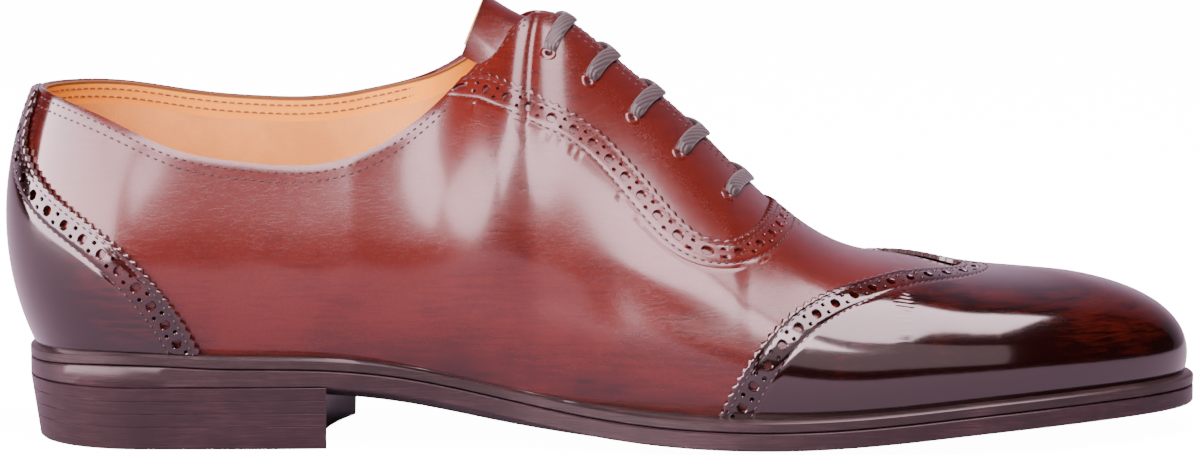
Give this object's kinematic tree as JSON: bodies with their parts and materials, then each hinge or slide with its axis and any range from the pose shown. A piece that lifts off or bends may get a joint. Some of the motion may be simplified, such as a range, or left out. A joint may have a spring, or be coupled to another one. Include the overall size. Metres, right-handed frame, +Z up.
{
  "type": "u-cap oxford shoe",
  "caption": "Laced leather dress shoe for the right foot, with a U-shaped toe cap, heel counter, recessed facings, welted leather sole and stacked heel.",
  "frame": {"origin": "on the ground under the middle of the heel's top piece, on its flat underside", "axes": "+X runs to the toe, +Y to the inner side of the foot, +Z up"},
  "size_m": [0.3088, 0.0967, 0.1143],
  "materials": {
    "upper_leather": "polished calf, burnished dark",
    "lining_leather": "natural vegetable-tanned",
    "welt_leather": "waxed black-brown",
    "sole_leather": "stained and waxed edge, brown underside",
    "heel_leather": "stained and waxed stack",
    "waxed_lace": "flat waxed cotton"
  },
  "bodies": {
    "root": {"upper": "upper_leather", "toe_cap": "upper_leather", "heel_counter": "upper_leather", "tongue": "upper_leather", "insole": "lining_leather", "welt": "welt_leather", "outsole": "sole_leather", "heel_top_piece": "heel_leather", "heel_lift_1": "heel_leather", "heel_lift_2": "heel_leather", "heel_lift_3": "heel_leather", "lace_bar_1": "waxed_lace", "lace_bar_2": "waxed_lace", "lace_bar_3": "waxed_lace", "lace_bar_4": "waxed_lace", "lace_bar_5": "waxed_lace"}
  },
  "joints": []
}
